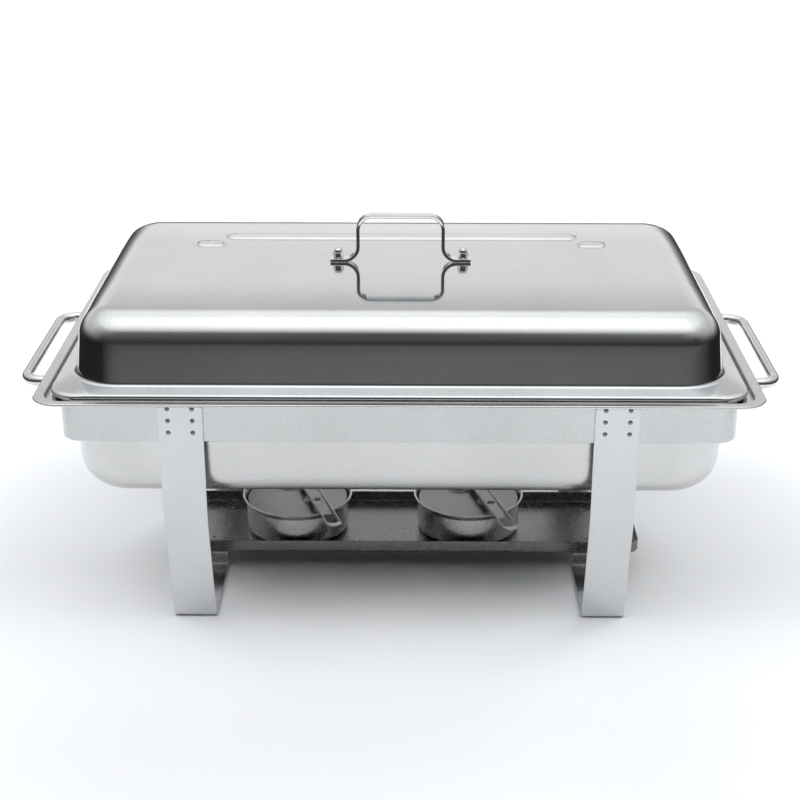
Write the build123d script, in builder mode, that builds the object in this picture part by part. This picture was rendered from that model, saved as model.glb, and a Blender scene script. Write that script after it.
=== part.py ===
from build123d import *
import os

os.makedirs("parts", exist_ok=True)

# Chafing dish food warmer in stainless sheet: a lid over a food pan, which sits in a
# water pan, which sits in a strap-legged frame with a tray and two fuel cups below.
# Millimetres, +Z up, +X along the length. The origin is on the floor under the middle.

# ---- Driving dimensions ----
SHEET = 1.0  # pans, lid, band, tray and cups

RIM_Z = 206.0  # top of the water pan's rim
RIM = (571.0, 345.0, 22.0)  # length, width and corner radius of the rim
RIM_EDGE = 0.4
RECESS = (554.0, 328.0, 15.0)  # inside of the upstand between rim and ledge
HEM_DROP = 2.2
LEDGE_Z = 202.0
TUB = (528.0, 303.0, 45.0)
TUB_DEPTH = 90.0
TUB_TAPER = 3.2
TUB_FILLET = 29.0

FOOD_FLANGE = (532.0, 324.0, 20.0)
FOOD_MOUTH = (500.0, 290.0, 45.0)
FOOD_DEPTH = 65.0
FOOD_TAPER = 4.0
FOOD_FILLET = 20.0

LID_FLANGE = (548.0, 322.0, 25.0)
LID_FLANGE_Z = 209.2  # top of the lid's flange
LID_DOME = (518.0, 295.0, 38.0)
LID_TOP_Z = 267.0
LID_TAPER = 7.0
LID_SHOULDER = 25.0
RIB = (312.0, 15.5)  # pressed marks on the lid's top
RIB_Y = 70.5
MARK = (25.0, 15.0, 6.0)
MARK_AT = (167.5, 48.0)
MARK_HEIGHT = 1.6
MARK_TAPER = 35.0

GRIP_TOP_Z = 308.5  # lid handle
GRIP_STRIP = 3.0
GRIP_WIDTH = 9.0
GRIP_LEG_X = 36.0
GRIP_FOOT_X = 60.0
GRIP_BEND = 12.0
GRIP_END_ROUND = 3.0
WASHER_RADIUS = 4.2
WASHER = 1.0
NUT_SIDE = 8.0
NUT_HEIGHT = 4.5
NUT_DOME_RADIUS = 3.7
SCREW_X = 53.0
SCREW_RADIUS = 2.0
SCREW_HEAD_RADIUS = 3.8
SCREW_HEAD = 2.2
SCREW_HEAD_ROUND = 1.2
SCREW_IN_NUT = 3.5

BAND = (532.0, 321.0, 18.0)
BAND_BOTTOM_Z = 170.0
BAND_TOP_Z = LEDGE_Z - SHEET

LEG_X = 170.0
LEG_WIDTH = 35.0
STRAP = 2.0
LEG_TOP_Z = 200.5
LEG_BEND_Z = 101.3  # below here the leg leans inwards
LEG_BEND = 100.0
FOOT_FRONT_Y = 138.0
FOOT_BACK_Y = 51.0
BRIDGE_Z = 16.0  # top of the strap where it carries the tray
CORNER_BEND = 3.0
PLATE_BOTTOM_Z = 167.0
RIVET_RADIUS = 1.3
RIVET_HEAD = 1.9
RIVET_RISE = 0.9
RIVET_TAPER = 35.0
RIVET_PITCH_X = 19.2
RIVET_PITCH_Z = 10.0
RIVET_MIDDLE_Z = 188.8

ROD = 9.0  # side handles
ROD_Z = 187.5
ROD_REACH_X = 311.0
ROD_HALF_SPAN = 78.5
ROD_BEND = 15.0
PAD = (26.0, 20.0, 3.0)
PAD_THICK = 1.5
PAD_Z = 184.0
PAD_RIVET_X = 16.0

TRAY = (412.0, 100.0, 8.0)
TRAY_AT = (4.0, -5.0)
TRAY_HEIGHT = 11.0
TRAY_BEND = 2.0
TRAY_RIVET_Y = 29.0
TRAY_RIVETS_X = (156.0, 167.0, 178.0)

# Each cup's middle, how far its fittings sit off that middle, and the arm's angle at rest.
CUPS = {
    "left": ((-93.0, -4.0), (0.0, 0.0), 18.2),
    "right": ((61.3, -3.0), (2.5, -5.0), 15.5),
}
CUP_FLOOR_Z = BRIDGE_Z + SHEET
CUP_RADIUS = 45.5
CUP_RIM_RADIUS = 49.3
CUP_RIM_Z = 50.5
CUP_NECK_Z = 44.5
CUP_LEAN = 0.5  # how much narrower the cup is at its floor
CUP_BENDS = (4.0, 3.0)
COVER_Z = 46.0  # top of the cover inside the cup
COVER_RADIUS = 44.6
FLAME_HOLE = (-10.0, 24.0, 11.0)  # place off the middle, and radius
FLAME_LIP = 1.2
WICK = (13.0, -6.0, 7.4)
WICK_GAP = 0.3
WICK_ROUND = 0.7
WICK_TOP_Z = 47.5

PIVOT_Y = 40.0  # damper pivot, behind the cup's middle
PIVOT_RADIUS = 2.5
PIVOT_NECK = 2.0
PIVOT_FOOT = (3.5, 1.2)  # radius and height of the staked end under the cover
PIVOT_COLLAR = 4.0
PIVOT_HEAD = (4.3, 1.3)  # radius, and reach above the arm's top
PIVOT_ROUND = 0.8
PIVOT_PLAY = 0.05
ARM_WIDTH = 13.5
ARM_TIP = 124.0
ARM_Z = 51.2  # underside of the arm
ARM_HOLE = 63.0
ARM_HOLE_RADIUS = 3.5
ARM_SLOT = (94.0, 117.0)  # straight at the first end, round at the other
ARM_SLOT_WIDTH = 9.6
ARM_BEND = 93.0  # from here the tip slopes up
ARM_TIP_RISE = 3.8
ARM_ROUND = 3.0


def level_ring(z, outer, inner):
    """A level ring between two rounded rectangles, each (length, width, corner radius)."""
    with BuildSketch(Plane.XY.offset(z)) as ring:
        RectangleRounded(*outer)
        RectangleRounded(*inner, mode=Mode.SUBTRACT)
    return ring.sketch


def grown(outline, amount):
    """A rounded rectangle offset outwards by an amount."""
    length, width, radius = outline
    return (length + 2 * amount, width + 2 * amount, radius + amount)


def rounded_basin(mouth_z, mouth, rise, taper, bend):
    """A solid that tapers from its mouth to a flat end with rounded edges; rise may be negative."""
    with BuildPart() as basin:
        with BuildSketch(Plane.XY.offset(mouth_z)):
            RectangleRounded(*mouth)
        extrude(amount=rise, taper=taper)
        end_edges = basin.edges().group_by(Axis.Z)[-1 if rise > 0 else 0]
        fillet(end_edges, bend)
    return basin.part


def front_plane(x, y, z):
    """An upright plane that faces -Y, with its origin at a point."""
    return Plane(origin=(x, y, z), x_dir=(1, 0, 0), z_dir=(0, -1, 0))


def end_plane(x, y, z):
    """An upright plane that faces +X, with its origin at a point."""
    return Plane(origin=(x, y, z), x_dir=(0, 1, 0), z_dir=(1, 0, 0))


def strip_outline(plane, points, radius, thickness):
    """The edge-on outline of a bent strip that follows a filleted line."""
    with BuildSketch(plane) as outline:
        with BuildLine():
            FilletPolyline(*points, radius=radius)
        trace(line_width=thickness)
    return outline.sketch


def save(part, name):
    part.label = name
    export_step(part, f"parts/{name}.step")


# ---- Water pan: tub, ledge, upstand and hemmed rim ----
with BuildPart() as water_pan:
    add(rounded_basin(LEDGE_Z, TUB, -TUB_DEPTH, TUB_TAPER, TUB_FILLET))
    tub_inside = rounded_basin(
        LEDGE_Z, grown(TUB, -SHEET), SHEET - TUB_DEPTH, TUB_TAPER, TUB_FILLET - SHEET
    )
    add(tub_inside, mode=Mode.SUBTRACT)
    extrude(level_ring(LEDGE_Z - SHEET, grown(RECESS, SHEET), grown(TUB, -SHEET)), amount=SHEET)
    extrude(level_ring(LEDGE_Z - SHEET, grown(RECESS, SHEET), RECESS), amount=RIM_Z - LEDGE_Z + SHEET)
    extrude(level_ring(RIM_Z - SHEET, RIM, RECESS), amount=SHEET)
    extrude(level_ring(RIM_Z - HEM_DROP, RIM, grown(RIM, -SHEET)), amount=HEM_DROP)
    fillet(water_pan.faces().sort_by(Axis.Z)[-1].edges(), RIM_EDGE)
save(water_pan.part, "water_pan")

# ---- Food pan: flange on the water pan's ledge, tapered basin below ----
with BuildPart() as food_pan:
    mouth_z = LEDGE_Z + SHEET
    add(rounded_basin(mouth_z, FOOD_MOUTH, -FOOD_DEPTH, FOOD_TAPER, FOOD_FILLET))
    food_inside = rounded_basin(
        mouth_z, grown(FOOD_MOUTH, -SHEET), SHEET - FOOD_DEPTH, FOOD_TAPER, FOOD_FILLET - SHEET
    )
    add(food_inside, mode=Mode.SUBTRACT)
    extrude(level_ring(LEDGE_Z, FOOD_FLANGE, grown(FOOD_MOUTH, -SHEET)), amount=SHEET)
save(food_pan.part, "food_pan")

# ---- Lid: domed box with a flange, a turned-down lip and pressed marks on top ----
with BuildPart() as lid_shell:
    dome_z = LID_FLANGE_Z - SHEET
    dome_rise = LID_TOP_Z - dome_z
    add(rounded_basin(dome_z, LID_DOME, dome_rise, LID_TAPER, LID_SHOULDER))
    dome_inside = rounded_basin(
        dome_z, grown(LID_DOME, -SHEET), dome_rise - SHEET, LID_TAPER, LID_SHOULDER - SHEET
    )
    add(dome_inside, mode=Mode.SUBTRACT)
    extrude(level_ring(LID_FLANGE_Z - SHEET, LID_FLANGE, grown(LID_DOME, -SHEET)), amount=SHEET)
    lip_z = LEDGE_Z + SHEET
    extrude(level_ring(lip_z, LID_FLANGE, grown(LID_FLANGE, -SHEET)), amount=LID_FLANGE_Z - lip_z)
    with BuildSketch(Plane.XY.offset(LID_TOP_Z)):
        with Locations((0, RIB_Y)):
            SlotOverall(*RIB)
        with Locations((-MARK_AT[0], MARK_AT[1]), MARK_AT):
            RectangleRounded(*MARK)
    extrude(amount=MARK_HEIGHT, taper=MARK_TAPER)
    with Locations((-SCREW_X, 0, LID_TOP_Z), (SCREW_X, 0, LID_TOP_Z)):
        Hole(SCREW_RADIUS, depth=3 * SHEET)
save(lid_shell.part, "lid_shell")

# ---- Lid handle: one flat strip bent into a bridge with two feet ----
grip_foot_z = LID_TOP_Z + GRIP_STRIP / 2
grip_top_z = GRIP_TOP_Z - GRIP_STRIP / 2
grip_line = [
    (-GRIP_FOOT_X, grip_foot_z),
    (-GRIP_LEG_X, grip_foot_z),
    (-GRIP_LEG_X, grip_top_z),
    (GRIP_LEG_X, grip_top_z),
    (GRIP_LEG_X, grip_foot_z),
    (GRIP_FOOT_X, grip_foot_z),
]
with BuildPart() as lid_handle:
    extrude(strip_outline(Plane.XZ, grip_line, GRIP_BEND, GRIP_STRIP), amount=GRIP_WIDTH / 2, both=True)
    with Locations((-SCREW_X, 0, LID_TOP_Z + GRIP_STRIP), (SCREW_X, 0, LID_TOP_Z + GRIP_STRIP)):
        Hole(SCREW_RADIUS, depth=GRIP_STRIP)
    foot_ends = lid_handle.edges().filter_by(Axis.Z).group_by(SortBy.LENGTH)[0]
    fillet(foot_ends.group_by(Axis.X)[0] + foot_ends.group_by(Axis.X)[-1], GRIP_END_ROUND)
save(lid_handle.part, "lid_handle")

# ---- Washers, dome nuts and screws that hold the handle's feet ----
washer_z = LID_TOP_Z + GRIP_STRIP
with BuildPart() as lid_handle_washers:
    with BuildSketch(Plane.XY.offset(washer_z)):
        with Locations((-SCREW_X, 0), (SCREW_X, 0)):
            Circle(WASHER_RADIUS)
            Circle(SCREW_RADIUS, mode=Mode.SUBTRACT)
    extrude(amount=WASHER)
save(lid_handle_washers.part, "lid_handle_washers")

nut_z = washer_z + WASHER
with BuildPart() as lid_handle_nuts:
    with BuildSketch(Plane.XY.offset(nut_z)):
        with Locations((-SCREW_X, 0), (SCREW_X, 0)):
            RegularPolygon(NUT_SIDE / 2, 6, major_radius=False)
    extrude(amount=NUT_HEIGHT)
    with Locations((-SCREW_X, 0, nut_z + NUT_HEIGHT), (SCREW_X, 0, nut_z + NUT_HEIGHT)):
        Sphere(NUT_DOME_RADIUS)
    with BuildSketch(Plane.XY.offset(nut_z)):
        with Locations((-SCREW_X, 0), (SCREW_X, 0)):
            Circle(SCREW_RADIUS)
    extrude(amount=NUT_HEIGHT, mode=Mode.SUBTRACT)
save(lid_handle_nuts.part, "lid_handle_nuts")

with BuildPart() as lid_handle_screws:
    with BuildSketch(Plane.XY.offset(LID_TOP_Z - SHEET)):
        with Locations((-SCREW_X, 0), (SCREW_X, 0)):
            Circle(SCREW_HEAD_RADIUS)
    extrude(amount=-SCREW_HEAD)
    fillet(lid_handle_screws.edges().group_by(Axis.Z)[0], SCREW_HEAD_ROUND)
    with BuildSketch(Plane.XY.offset(LID_TOP_Z - SHEET)):
        with Locations((-SCREW_X, 0), (SCREW_X, 0)):
            Circle(SCREW_RADIUS)
    extrude(amount=SHEET + GRIP_STRIP + WASHER + SCREW_IN_NUT)
save(lid_handle_screws.part, "lid_handle_screws")

# ---- Frame band: a sheet ring under the water pan's ledge ----
face_y = BAND[1] / 2
with BuildPart() as frame_band:
    extrude(level_ring(BAND_BOTTOM_Z, BAND, grown(BAND, -SHEET)), amount=BAND_TOP_Z - BAND_BOTTOM_Z)
    for leg_x in (-LEG_X, LEG_X):
        with BuildSketch(front_plane(leg_x, 0, RIVET_MIDDLE_Z)):
            with GridLocations(RIVET_PITCH_X, RIVET_PITCH_Z, 2, 3):
                Circle(RIVET_RADIUS)
        extrude(amount=BAND[1], both=True, mode=Mode.SUBTRACT)
    with BuildSketch(end_plane(0, 0, PAD_Z)):
        with Locations((-ROD_HALF_SPAN, 0), (ROD_HALF_SPAN, 0)):
            with GridLocations(PAD_RIVET_X, 1, 2, 1):
                Circle(RIVET_RADIUS)
    extrude(amount=BAND[0], both=True, mode=Mode.SUBTRACT)
save(frame_band.part, "frame_band")

# ---- Leg straps: one bent strap makes a front leg, a rear leg and the bridge between ----
leg_y = face_y + STRAP / 2
half_line = [
    (-leg_y, LEG_TOP_Z),
    (-leg_y, LEG_BEND_Z),
    (-FOOT_FRONT_Y, STRAP / 2),
    (-FOOT_BACK_Y, STRAP / 2),
    (-FOOT_BACK_Y, BRIDGE_Z - STRAP / 2),
]
strap_line = half_line + [(-y, z) for y, z in reversed(half_line)]
half_bends = [LEG_BEND, CORNER_BEND, CORNER_BEND, CORNER_BEND]
strap_bends = half_bends + half_bends[::-1]
tray_rivets_left = [(-x, y) for x in TRAY_RIVETS_X for y in (-TRAY_RIVET_Y, TRAY_RIVET_Y)]
tray_rivets_right = [(-x, y) for x, y in tray_rivets_left]
for side, leg_x, hole_places in (
    ("left", -LEG_X, tray_rivets_left),
    ("right", LEG_X, tray_rivets_right),
):
    with BuildPart() as leg_strap:
        strap_section = strip_outline(Plane.YZ.offset(leg_x), strap_line, strap_bends, STRAP)
        extrude(strap_section, amount=LEG_WIDTH / 2, both=True)
        with BuildSketch(front_plane(leg_x, 0, RIVET_MIDDLE_Z)):
            with GridLocations(RIVET_PITCH_X, RIVET_PITCH_Z, 2, 3):
                Circle(RIVET_RADIUS)
        extrude(amount=BAND[1], both=True, mode=Mode.SUBTRACT)
        with BuildSketch(Plane.XY.offset(BRIDGE_Z)):
            with Locations(*hole_places):
                Circle(RIVET_RADIUS)
        extrude(amount=-2 * STRAP, mode=Mode.SUBTRACT)
    save(leg_strap.part, f"leg_strap_{side}")

# ---- Cover plates over the tops of the four legs ----
plate_y = face_y + STRAP
for side, leg_x in (("left", -LEG_X), ("right", LEG_X)):
    for end, facing in (("front", -1), ("rear", 1)):
        with BuildPart() as leg_plate:
            with BuildSketch(front_plane(leg_x, facing * plate_y, RIVET_MIDDLE_Z)):
                with Locations((0, (LEG_TOP_Z + PLATE_BOTTOM_Z) / 2 - RIVET_MIDDLE_Z)):
                    Rectangle(LEG_WIDTH, LEG_TOP_Z - PLATE_BOTTOM_Z)
                with GridLocations(RIVET_PITCH_X, RIVET_PITCH_Z, 2, 3):
                    Circle(RIVET_RADIUS, mode=Mode.SUBTRACT)
            extrude(amount=-facing * SHEET)
        save(leg_plate.part, f"leg_plate_{end}_{side}")

# ---- Rivets through plate, strap and band ----
with BuildPart() as leg_rivets:
    for leg_x in (-LEG_X, LEG_X):
        for facing in (-1, 1):
            outer_y = facing * (plate_y + SHEET)
            with BuildSketch(front_plane(leg_x, outer_y, RIVET_MIDDLE_Z)):
                with GridLocations(RIVET_PITCH_X, RIVET_PITCH_Z, 2, 3):
                    Circle(RIVET_RADIUS)
            extrude(amount=facing * (2 * SHEET + STRAP))
            with BuildSketch(front_plane(leg_x, outer_y, RIVET_MIDDLE_Z)):
                with GridLocations(RIVET_PITCH_X, RIVET_PITCH_Z, 2, 3):
                    Circle(RIVET_HEAD)
            extrude(amount=-facing * RIVET_RISE, taper=RIVET_TAPER)
            inner_y = facing * (face_y - SHEET)
            with BuildSketch(front_plane(leg_x, inner_y, RIVET_MIDDLE_Z)):
                with GridLocations(RIVET_PITCH_X, RIVET_PITCH_Z, 2, 3):
                    Circle(RIVET_HEAD)
            extrude(amount=facing * RIVET_RISE, taper=RIVET_TAPER)
save(leg_rivets.part, "leg_rivets")

# ---- Side handles: bent rods on riveted pads on the band's ends ----
end_x = BAND[0] / 2
for side, facing in (("left", -1), ("right", 1)):
    pad_x = facing * end_x
    with BuildPart() as handle_pads:
        for rod_y in (-ROD_HALF_SPAN, ROD_HALF_SPAN):
            with BuildSketch(end_plane(pad_x, rod_y, PAD_Z)):
                RectangleRounded(*PAD)
                with GridLocations(PAD_RIVET_X, 1, 2, 1):
                    Circle(RIVET_RADIUS, mode=Mode.SUBTRACT)
            extrude(amount=facing * PAD_THICK)
    save(handle_pads.part, f"handle_pads_{side}")

    with BuildPart() as handle_rivets:
        for rod_y in (-ROD_HALF_SPAN, ROD_HALF_SPAN):
            for x, run, radius in (
                (facing * (end_x - SHEET), facing * (SHEET + PAD_THICK), RIVET_RADIUS),
                (facing * (end_x + PAD_THICK), facing * RIVET_RISE, RIVET_HEAD),
                (facing * (end_x - SHEET), -facing * RIVET_RISE, RIVET_HEAD),
            ):
                with BuildSketch(end_plane(x, rod_y, PAD_Z)):
                    with GridLocations(PAD_RIVET_X, 1, 2, 1):
                        Circle(radius)
                extrude(amount=run)
    save(handle_rivets.part, f"handle_rivets_{side}")

    root_x = facing * (end_x + PAD_THICK)
    reach_x = facing * ROD_REACH_X
    with BuildPart() as side_handle:
        with BuildLine(Plane.XY.offset(ROD_Z)) as rod_path:
            FilletPolyline(
                (root_x, -ROD_HALF_SPAN),
                (reach_x, -ROD_HALF_SPAN),
                (reach_x, ROD_HALF_SPAN),
                (root_x, ROD_HALF_SPAN),
                radius=ROD_BEND,
            )
        with BuildSketch(Plane(origin=rod_path.line @ 0, z_dir=rod_path.line % 0)):
            Circle(ROD / 2)
        sweep()
    save(side_handle.part, f"side_handle_{side}")

# ---- Fuel tray: shallow tray lying on the straps' bridges ----
with BuildPart() as fuel_tray:
    with BuildSketch(Plane.XY.offset(BRIDGE_Z)):
        with Locations(TRAY_AT):
            RectangleRounded(*TRAY)
    extrude(amount=TRAY_HEIGHT)
    fillet(fuel_tray.faces().sort_by(Axis.Z)[0].edges(), TRAY_BEND)
    with BuildSketch(Plane.XY.offset(BRIDGE_Z + SHEET)):
        with Locations(TRAY_AT):
            RectangleRounded(*grown(TRAY, -SHEET))
    extrude(amount=TRAY_HEIGHT, mode=Mode.SUBTRACT)
    with BuildSketch(Plane.XY.offset(BRIDGE_Z)):
        with Locations(*tray_rivets_left, *tray_rivets_right):
            Circle(RIVET_RADIUS)
    extrude(amount=SHEET, mode=Mode.SUBTRACT)
save(fuel_tray.part, "fuel_tray")

with BuildPart() as tray_rivets:
    for z, run, radius in (
        (BRIDGE_Z - STRAP, STRAP + SHEET, RIVET_RADIUS),
        (BRIDGE_Z + SHEET, RIVET_RISE, RIVET_HEAD),
        (BRIDGE_Z - STRAP, -RIVET_RISE, RIVET_HEAD),
    ):
        with BuildSketch(Plane.XY.offset(z)):
            with Locations(*tray_rivets_left, *tray_rivets_right):
                Circle(radius)
        extrude(amount=run)
save(tray_rivets.part, "tray_rivets")

# ---- Fuel cups, each with a cover, a wick and a damper arm that swings on a stud ----
for side, ((cup_x, cup_y), (shift_x, shift_y), arm_angle) in CUPS.items():
    cup_line = [
        (0, CUP_FLOOR_Z + SHEET / 2),
        (CUP_RADIUS - CUP_LEAN, CUP_FLOOR_Z + SHEET / 2),
        (CUP_RADIUS, CUP_NECK_Z),
        (CUP_RIM_RADIUS - SHEET / 2, CUP_RIM_Z - SHEET / 2),
    ]
    with BuildPart() as fuel_cup:
        cup_section = strip_outline(front_plane(cup_x, cup_y, 0), cup_line, CUP_BENDS, SHEET)
        revolve(cup_section, axis=Axis((cup_x, cup_y, 0), (0, 0, 1)))
    save(fuel_cup.part, f"fuel_cup_{side}")

    flame_at = (shift_x + FLAME_HOLE[0], shift_y + FLAME_HOLE[1])
    wick_at = (shift_x + WICK[0], shift_y + WICK[1])
    pivot_at = (shift_x, shift_y + PIVOT_Y)
    cup_plane = Plane(origin=(cup_x, cup_y, 0))
    with BuildPart() as cup_cover:
        with BuildSketch(cup_plane.offset(COVER_Z - SHEET)):
            Circle(COVER_RADIUS)
            with Locations(flame_at):
                Circle(FLAME_HOLE[2], mode=Mode.SUBTRACT)
            with Locations(wick_at):
                Circle(WICK[2] + WICK_GAP, mode=Mode.SUBTRACT)
            with Locations(pivot_at):
                Circle(PIVOT_NECK, mode=Mode.SUBTRACT)
        extrude(amount=SHEET)
        with BuildSketch(cup_plane.offset(COVER_Z)):
            with Locations(flame_at):
                Circle(FLAME_HOLE[2] + FLAME_LIP)
                Circle(FLAME_HOLE[2], mode=Mode.SUBTRACT)
        extrude(amount=FLAME_LIP)
    save(cup_cover.part, f"cup_cover_{side}")

    with BuildPart() as wick:
        with BuildSketch(cup_plane.offset(CUP_FLOOR_Z + SHEET)):
            with Locations(wick_at):
                Circle(WICK[2])
        extrude(amount=WICK_TOP_Z - CUP_FLOOR_Z - SHEET)
        fillet(wick.edges().group_by(Axis.Z)[-1], WICK_ROUND)
    save(wick.part, f"wick_{side}")

    # The stud is staked in the cover, with a collar under the arm and a head over it.
    cover_under_z = COVER_Z - SHEET
    arm_top_z = ARM_Z + SHEET
    stud_steps = (
        (cover_under_z - PIVOT_FOOT[1], cover_under_z, PIVOT_FOOT[0]),
        (cover_under_z, COVER_Z, PIVOT_NECK),
        (COVER_Z, ARM_Z - PIVOT_PLAY, PIVOT_COLLAR),
        (ARM_Z - PIVOT_PLAY, arm_top_z + PIVOT_PLAY, PIVOT_RADIUS),
        (arm_top_z + PIVOT_PLAY, arm_top_z + PIVOT_HEAD[1], PIVOT_HEAD[0]),
    )
    with BuildPart() as damper_pivot:
        for z, top_z, radius in stud_steps:
            with BuildSketch(cup_plane.offset(z)):
                with Locations(pivot_at):
                    Circle(radius)
            extrude(amount=top_z - z)
        fillet(damper_pivot.edges().group_by(Axis.Z)[-1], PIVOT_ROUND)
    save(damper_pivot.part, f"damper_pivot_{side}")

    # The arm's own X runs from its pivot to its tip.
    arm_origin = (cup_x + pivot_at[0], cup_y + pivot_at[1], ARM_Z)
    arm_plane = Plane(origin=arm_origin, z_dir=(0, 0, 1)).rotated((0, 0, arm_angle - 90))
    arm_side = Plane(origin=arm_origin, x_dir=arm_plane.x_dir, z_dir=-arm_plane.y_dir)
    arm_line = [
        (-ARM_WIDTH / 2, SHEET / 2),
        (ARM_BEND, SHEET / 2),
        (ARM_TIP + SHEET, SHEET / 2 + ARM_TIP_RISE),
    ]
    slot_radius = ARM_SLOT_WIDTH / 2
    slot_middle = (ARM_SLOT[0] + ARM_SLOT[1] - slot_radius) / 2
    with BuildPart() as damper_arm:
        extrude(strip_outline(arm_side, arm_line, ARM_ROUND, SHEET), amount=ARM_WIDTH / 2, both=True)
        with BuildSketch(arm_plane):
            with Locations((ARM_TIP / 2 - ARM_WIDTH / 4, 0)):
                SlotOverall(ARM_TIP + ARM_WIDTH / 2, ARM_WIDTH)
            Circle(PIVOT_RADIUS + PIVOT_PLAY, mode=Mode.SUBTRACT)
            with Locations((ARM_HOLE, 0)):
                Circle(ARM_HOLE_RADIUS, mode=Mode.SUBTRACT)
            with Locations((slot_middle, 0)):
                Rectangle(ARM_SLOT[1] - slot_radius - ARM_SLOT[0], ARM_SLOT_WIDTH, mode=Mode.SUBTRACT)
            with Locations((ARM_SLOT[1] - slot_radius, 0)):
                Circle(slot_radius, mode=Mode.SUBTRACT)
        extrude(amount=4 * ARM_TIP_RISE, both=True, mode=Mode.INTERSECT)
    save(damper_arm.part, f"damper_arm_{side}")
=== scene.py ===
import math

import bmesh
import bpy
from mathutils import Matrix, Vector
from mathutils.geometry import tessellate_polygon


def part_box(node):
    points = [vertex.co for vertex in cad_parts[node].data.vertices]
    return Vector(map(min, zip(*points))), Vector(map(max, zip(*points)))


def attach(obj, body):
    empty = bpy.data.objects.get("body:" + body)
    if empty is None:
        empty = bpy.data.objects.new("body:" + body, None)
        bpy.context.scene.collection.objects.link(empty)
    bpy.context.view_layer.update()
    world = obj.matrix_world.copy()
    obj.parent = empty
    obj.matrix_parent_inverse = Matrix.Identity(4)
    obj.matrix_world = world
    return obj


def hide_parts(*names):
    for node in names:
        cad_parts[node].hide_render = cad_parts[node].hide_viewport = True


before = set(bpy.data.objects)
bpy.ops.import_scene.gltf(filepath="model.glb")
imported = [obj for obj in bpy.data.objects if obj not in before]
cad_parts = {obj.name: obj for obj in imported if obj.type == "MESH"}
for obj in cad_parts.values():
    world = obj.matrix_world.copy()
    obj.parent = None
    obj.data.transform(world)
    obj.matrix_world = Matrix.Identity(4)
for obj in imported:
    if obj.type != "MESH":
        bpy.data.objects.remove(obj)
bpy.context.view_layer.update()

MM = 0.001
SHEET = 1.0 * MM
MIDDLE_GAP = 0.6 * MM
LEAST_RADIUS = 0.2 * MM
WIDEST_MITRE = 0.6

# ------------------------------------------------------------------ mesh tools


def fillet_path(points, radii, steps=8):
    """An open 2D line through the points, with each inner corner rounded."""
    path = [Vector(points[0])]
    for before, corner, after, radius in zip(points, points[1:], points[2:], radii):
        corner = Vector(corner)
        to_before = (Vector(before) - corner).normalized()
        to_after = (Vector(after) - corner).normalized()
        half_angle = to_before.angle(to_after) / 2
        reach = radius / math.tan(half_angle)
        centre = corner + (to_before + to_after).normalized() * radius / math.sin(half_angle)
        first = corner + to_before * reach - centre
        last = corner + to_after * reach - centre
        sweep = first.angle(last)
        for step in range(steps + 1):
            share = step / steps
            mixed = first * math.sin((1 - share) * sweep) + last * math.sin(share * sweep)
            path.append(centre + mixed / math.sin(sweep))
    path.append(Vector(points[-1]))
    return path


def offset_path(path, distance):
    """The 2D path moved sideways, to its left for a positive distance."""
    moved = []
    for i, point in enumerate(path):
        before = path[max(i - 1, 0)]
        after = path[min(i + 1, len(path) - 1)]
        along = (after - before).normalized()
        side = Vector((-along.y, along.x))
        stretch = 1.0
        if 0 < i < len(path) - 1:
            next_side = Vector((-(after - point).y, (after - point).x)).normalized()
            stretch = 1 / max(WIDEST_MITRE, side.dot(next_side))
        moved.append(point + side * distance * stretch)
    return moved


def round_end(path, end, thickness, steps=4):
    """The half circle that closes a sheet's edge, from the left side to the right side."""
    neighbour = path[1] if end == 0 else path[-2]
    tip = path[end]
    outward = (tip - neighbour).normalized()
    left = Vector((-outward.y, outward.x))
    if end == 0:
        left = -left
    arc = []
    for step in range(1, steps):
        angle = math.pi * step / steps
        arc.append(tip + (left * math.cos(angle) + outward * math.sin(angle)) * thickness / 2)
    return arc


def refine(path, spacing):
    """The path with points added so that no gap is longer than the spacing allows."""
    fine = [path[0]]
    for start, end in zip(path, path[1:]):
        cuts = max(1, math.ceil((end - start).length / spacing((start + end) / 2)))
        fine.extend(start.lerp(end, i / cuts) for i in range(1, cuts + 1))
    return fine


def rounded_ring(half_x, half_y, radius, z, centre, corner_steps, side_cuts):
    """Points round a level rounded rectangle. Every ring of one piece has the same count."""
    long_cuts, short_cuts = side_cuts
    radius = max(min(radius, half_x, half_y), LEAST_RADIUS)
    ring = []
    corners = ((1, 1, 0), (-1, 1, 90), (-1, -1, 180), (1, -1, 270))
    for number, (sx, sy, start) in enumerate(corners):
        cx, cy = sx * (half_x - radius), sy * (half_y - radius)
        for step in range(corner_steps + 1):
            angle = math.radians(start + 90 * step / corner_steps)
            ring.append(Vector((cx + radius * math.cos(angle), cy + radius * math.sin(angle), z)))
        nx, ny, _ = corners[(number + 1) % 4]
        next_angle = math.radians(start + 90)
        end = Vector((nx * (half_x - radius), ny * (half_y - radius), z))
        end += Vector((radius * math.cos(next_angle), radius * math.sin(next_angle), 0))
        cuts = long_cuts if number % 2 == 0 else short_cuts
        here = ring[-1]
        ring.extend(here.lerp(end, cut / cuts) for cut in range(1, cuts))
    return [point + Vector((centre[0], centre[1], 0)) for point in ring]


def circle_ring(centre, radius, z, count=96):
    """Points round a level circle."""
    ring = []
    for i in range(count):
        angle = 2 * math.pi * i / count
        ring.append(Vector((centre[0] + radius * math.cos(angle), centre[1] + radius * math.sin(angle), z)))
    return ring


def add_loft(bm, rings, closed=False):
    """Quads through rings of equal length, capped at both ends unless the loft closes on itself."""
    rows = [[bm.verts.new(point) for point in ring] for ring in rings]
    count = len(rows[0])
    for low, high in zip(rows, rows[1:] + (rows[:1] if closed else [])):
        for i in range(count):
            j = (i + 1) % count
            bm.faces.new((low[i], low[j], high[j], high[i]))
    if not closed:
        bm.faces.new(list(reversed(rows[0])))
        bm.faces.new(rows[-1])


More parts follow.
